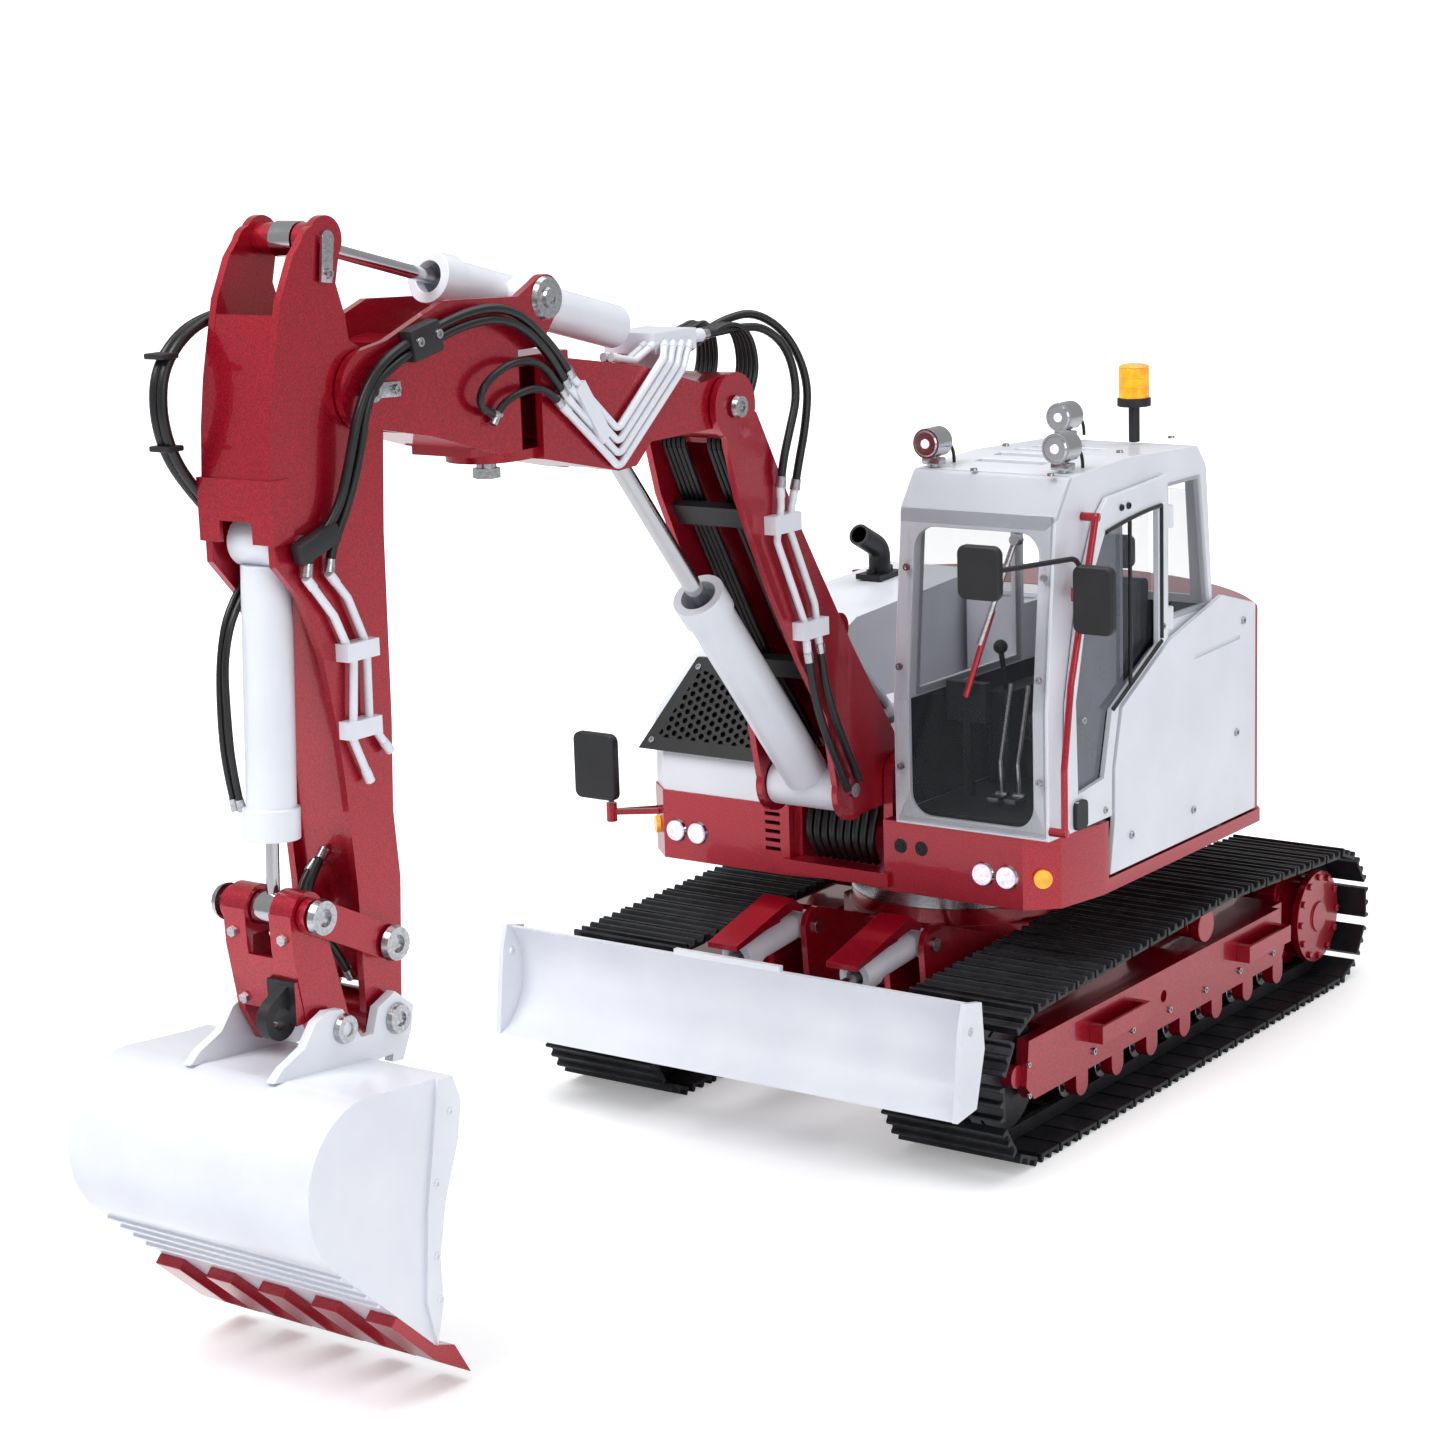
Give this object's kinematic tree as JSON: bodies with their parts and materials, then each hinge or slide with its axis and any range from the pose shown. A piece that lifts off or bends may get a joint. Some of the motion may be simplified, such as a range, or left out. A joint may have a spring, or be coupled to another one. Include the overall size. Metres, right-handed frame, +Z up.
{
  "type": "rc excavator",
  "caption": "Red and white radio controlled hydraulic excavator with cab, dozer blade, crawler tracks, three-piece swinging boom and toothed bucket",
  "frame": {"origin": "bottom centre of the whole machine's box at rest, on the ground under the track shoes", "axes": "+X forward, towards the dozer blade and the bucket; +Y to the machine's left, the cab side; +Z up"},
  "size_m": [0.5591, 0.222, 0.3285],
  "materials": {
    "red_paint": "metallic dark red spray paint, glossy",
    "white_paint": "gloss white spray paint",
    "black_track": "blackened cast metal shoes",
    "machined_steel": "bright turned steel",
    "chrome_rod": "ground and polished rod",
    "clear_glazing": "clear acrylic sheet",
    "black_plastic": "matt black moulding",
    "amber_lens": "amber lens",
    "grille_mesh": "black painted perforated sheet",
    "board_green": "circuit board in a plain case",
    "cell_wrap": "shrink wrap",
    "black_paint": "satin black paint"
  },
  "bodies": {
    "undercarriage": {"center_frame": "red_paint", "slew_ring": "machined_steel", "track_frame_left": "red_paint", "track_frame_right": "red_paint", "track_left": "black_track", "track_right": "black_track", "track_rollers": "machined_steel"},
    "sprocket_left": {"sprocket_left": "red_paint"},
    "sprocket_right": {"sprocket_right": "red_paint"},
    "idler_left": {"idler_left": "black_track"},
    "idler_right": {"idler_right": "black_track"},
    "dozer_blade": {"dozer_blade": "white_paint"},
    "dozer_cylinders": {"dozer_cylinders": "white_paint"},
    "dozer_rods": {"dozer_rods": "chrome_rod"},
    "house": {"house_frame": "red_paint", "cab_shell": "white_paint", "cab_glazing": "clear_glazing", "cab_interior": "black_plastic", "engine_cover": "white_paint", "engine_grille": "grille_mesh", "counterweight": "red_paint", "side_cover": "white_paint", "exhaust": "black_paint", "beacon": "amber_lens", "battery_and_receiver": "cell_wrap", "hydraulic_unit": "machined_steel", "slew_drive": "machined_steel", "lamps": "machined_steel", "handrail": "red_paint"},
    "cab_door": {"cab_door": "white_paint", "door_glass": "clear_glazing"},
    "side_window": {"side_window": "clear_glazing"},
    "mirror_front": {"mirror_front": "black_plastic"},
    "mirror_side": {"mirror_side": "black_plastic"},
    "mirror_right": {"mirror_right": "black_plastic"},
    "travel_lever_left": {"travel_lever_left": "machined_steel"},
    "travel_lever_right": {"travel_lever_right": "machined_steel"},
    "wiper": {"wiper": "black_plastic"},
    "lower_boom": {"lower_boom": "red_paint", "lower_boom_pipes": "white_paint", "boom_hoses": "black_plastic"},
    "lift_barrel": {"lift_barrel": "white_paint"},
    "lift_rod": {"lift_rod": "chrome_rod"},
    "upper_boom": {"upper_boom": "red_paint", "upper_boom_pipes": "white_paint"},
    "adjust_barrel": {"adjust_barrel": "white_paint"},
    "adjust_rod": {"adjust_rod": "chrome_rod"},
    "front_boom": {"front_boom": "red_paint"},
    "swing_barrel": {"swing_barrel": "white_paint"},
    "swing_rod": {"swing_rod": "chrome_rod"},
    "arm": {"arm": "red_paint", "arm_pipes": "white_paint"},
    "arm_barrel": {"arm_barrel": "white_paint"},
    "arm_rod": {"arm_rod": "chrome_rod"},
    "rocker_links": {"rocker_links": "red_paint"},
    "bucket_barrel": {"bucket_barrel": "white_paint"},
    "bucket_rod": {"bucket_rod": "chrome_rod"},
    "power_link": {"power_link": "red_paint"},
    "bucket": {"bucket": "white_paint", "bucket_teeth": "red_paint"}
  },
  "joints": [
    {"name": "sprocket_left", "type": "hinge", "parent": "undercarriage", "child": "sprocket_left", "pos_m": [-0.252, 0.0725, 0.0275], "axis": [0, 1, 0], "continuous": true},
    {"name": "idler_left", "type": "hinge", "parent": "undercarriage", "child": "idler_left", "pos_m": [-0.0205, 0.0725, 0.0281], "axis": [0, 1, 0], "continuous": true},
    {"name": "sprocket_right", "type": "hinge", "parent": "undercarriage", "child": "sprocket_right", "pos_m": [-0.252, -0.0725, 0.0275], "axis": [0, 1, 0], "continuous": true},
    {"name": "idler_right", "type": "hinge", "parent": "undercarriage", "child": "idler_right", "pos_m": [-0.0205, -0.0725, 0.0281], "axis": [0, 1, 0], "continuous": true},
    {"name": "blade_lift", "type": "hinge", "parent": "undercarriage", "child": "dozer_blade", "pos_m": [-0.0565, 0, 0.027], "axis": [0, 1, 0], "range_deg": [-6, 16]},
    {"name": "blade_cylinder_pivot", "type": "hinge", "parent": "undercarriage", "child": "dozer_cylinders", "pos_m": [-0.0535, 0, 0.0585], "axis": [0, 1, 0], "range_deg": [-6.1, 15.8]},
    {"name": "blade_rod_pivot", "type": "hinge", "parent": "dozer_blade", "child": "dozer_rods", "pos_m": [0.0045, 0, 0.053], "axis": [0, 1, 0], "range_deg": [-0.7, 0.4]},
    {"name": "slew", "type": "hinge", "parent": "undercarriage", "child": "house", "pos_m": [-0.1285, 0, 0.068], "axis": [0, 0, 1], "continuous": true},
    {"name": "boom_lift", "type": "hinge", "parent": "house", "child": "lower_boom", "pos_m": [-0.0565, 0, 0.118], "axis": [0, -1, 0], "range_deg": [-32, 20]},
    {"name": "lift_cylinder_pivot", "type": "hinge", "parent": "house", "child": "lift_barrel", "pos_m": [-0.1185, 0, 0.098], "axis": [0, 1, 0], "range_deg": [-9.4, 15]},
    {"name": "lift_rod_pivot", "type": "hinge", "parent": "lower_boom", "child": "lift_rod", "pos_m": [-0.0385, 0, 0.172], "axis": [0, 1, 0], "range_deg": [-17.5, 11.1]},
    {"name": "boom_adjust", "type": "hinge", "parent": "lower_boom", "child": "upper_boom", "pos_m": [0.033, 0, 0.257], "axis": [0, -1, 0], "range_deg": [-25, 20]},
    {"name": "adjust_cylinder_pivot", "type": "hinge", "parent": "lower_boom", "child": "adjust_barrel", "pos_m": [-0.03, 0, 0.1175], "axis": [0, 1, 0], "range_deg": [-2.9, 3.5]},
    {"name": "adjust_rod_pivot", "type": "hinge", "parent": "upper_boom", "child": "adjust_rod", "pos_m": [0.0795, 0, 0.25], "axis": [0, 1, 0], "range_deg": [-22, 17.6]},
    {"name": "boom_swing", "type": "hinge", "parent": "upper_boom", "child": "front_boom", "pos_m": [0.1375, 0, 0.267], "axis": [0, 0, 1], "range_deg": [-20, 20]},
    {"name": "swing_rod_pivot", "type": "hinge", "parent": "upper_boom", "child": "swing_rod", "pos_m": [0.0935, -0.03, 0.261], "axis": [0, 0, 1], "range_deg": [-9.8, 9.8]},
    {"name": "swing_cylinder_pivot", "type": "hinge", "parent": "front_boom", "child": "swing_barrel", "pos_m": [0.1775, -0.03, 0.269], "axis": [0, 0, 1], "range_deg": [-10.7, 10.7]},
    {"name": "arm_stick", "type": "hinge", "parent": "front_boom", "child": "arm", "pos_m": [0.2045, 0, 0.28], "axis": [0, 1, 0], "range_deg": [-20, 35]},
    {"name": "arm_cylinder_pivot", "type": "hinge", "parent": "front_boom", "child": "arm_barrel", "pos_m": [0.1255, 0, 0.299], "axis": [0, 1, 0], "range_deg": [-5.2, 9]},
    {"name": "arm_rod_pivot", "type": "hinge", "parent": "arm", "child": "arm_rod", "pos_m": [0.2155, 0, 0.322], "axis": [0, 1, 0], "range_deg": [-26.5, 15.3]},
    {"name": "bucket_curl", "type": "hinge", "parent": "arm", "child": "bucket", "pos_m": [0.2095, 0, 0.101], "axis": [0, 1, 0], "range_deg": [-20, 45]},
    {"name": "rocker_pivot", "type": "hinge", "parent": "arm", "child": "rocker_links", "pos_m": [0.2085, 0, 0.123], "axis": [0, 1, 0], "range_deg": [-15.5, 34.6]},
    {"name": "bucket_cylinder_pivot", "type": "hinge", "parent": "arm", "child": "bucket_barrel", "pos_m": [0.2325, 0, 0.241], "axis": [0, 1, 0], "range_deg": [-2.5, 1.3]},
    {"name": "power_link_pivot", "type": "hinge", "parent": "rocker_links", "child": "power_link", "pos_m": [0.2385, 0, 0.138], "axis": [0, 1, 0], "range_deg": [-22, 9.9]},
    {"name": "bucket_rod_pivot", "type": "hinge", "parent": "rocker_links", "child": "bucket_rod", "pos_m": [0.2385, 0, 0.138], "axis": [0, 1, 0], "range_deg": [-36.9, 16.5]},
    {"name": "door", "type": "hinge", "parent": "house", "child": "cab_door", "pos_m": [-0.1255, 0.0886, 0.15], "axis": [0, 0, 1], "range_deg": [0, 100]},
    {"name": "window_slide", "type": "slide", "parent": "cab_door", "child": "side_window", "axis": [1, 0, 0], "range_m": [0, 0.018]},
    {"name": "mirror_front_turn", "type": "hinge", "parent": "house", "child": "mirror_front", "pos_m": [-0.055, 0.0925, 0.195], "axis": [0, 0, 1], "range_deg": [-12, 25]},
    {"name": "mirror_side_turn", "type": "hinge", "parent": "house", "child": "mirror_side", "pos_m": [-0.057, 0.096, 0.193], "axis": [0, 0, 1], "range_deg": [-25, 25]},
    {"name": "mirror_right_turn", "type": "hinge", "parent": "house", "child": "mirror_right", "pos_m": [-0.0399, -0.0972, 0.1], "axis": [0, 0, 1], "range_deg": [-25, 25]},
    {"name": "travel_lever_left_tilt", "type": "hinge", "parent": "house", "child": "travel_lever_left", "pos_m": [-0.0685, 0.0605, 0.1114], "axis": [0, 1, 0], "range_deg": [-12, 12], "stiffness_Nm_per_rad": 0.003},
    {"name": "travel_lever_right_tilt", "type": "hinge", "parent": "house", "child": "travel_lever_right", "pos_m": [-0.0685, 0.0535, 0.1114], "axis": [0, 1, 0], "range_deg": [-12, 12], "stiffness_Nm_per_rad": 0.003},
    {"name": "wiper_sweep", "type": "hinge", "parent": "house", "child": "wiper", "pos_m": [-0.0472, 0.074, 0.206], "axis": [0.9943, 0, 0.1063], "range_deg": [-38, 20]}
  ],
  "couplings": [
    {"joint": "idler_left", "follows": "sprocket_left", "ratio": 0.9733},
    {"joint": "idler_right", "follows": "sprocket_right", "ratio": 0.9733},
    {"joint": "blade_cylinder_pivot", "follows": "blade_lift", "ratio": 0.969},
    {"joint": "blade_rod_pivot", "follows": "blade_lift", "ratio": -0.031},
    {"joint": "lift_cylinder_pivot", "follows": "boom_lift", "ratio": -0.4595},
    {"joint": "lift_rod_pivot", "follows": "boom_lift", "ratio": 0.5405},
    {"joint": "adjust_cylinder_pivot", "follows": "boom_adjust", "ratio": -0.131},
    {"joint": "adjust_rod_pivot", "follows": "boom_adjust", "ratio": 0.869},
    {"joint": "swing_rod_pivot", "follows": "boom_swing", "ratio": 0.476},
    {"joint": "swing_cylinder_pivot", "follows": "boom_swing", "ratio": -0.524},
    {"joint": "arm_cylinder_pivot", "follows": "arm_stick", "ratio": 0.249},
    {"joint": "arm_rod_pivot", "follows": "arm_stick", "ratio": -0.751},
    {"joint": "rocker_pivot", "follows": "bucket_curl", "ratio": 0.7628},
    {"joint": "bucket_cylinder_pivot", "follows": "bucket_curl", "ratio": -0.051},
    {"joint": "power_link_pivot", "follows": "bucket_curl", "ratio": -0.4844},
    {"joint": "bucket_rod_pivot", "follows": "bucket_curl", "ratio": -0.8138}
  ]
}
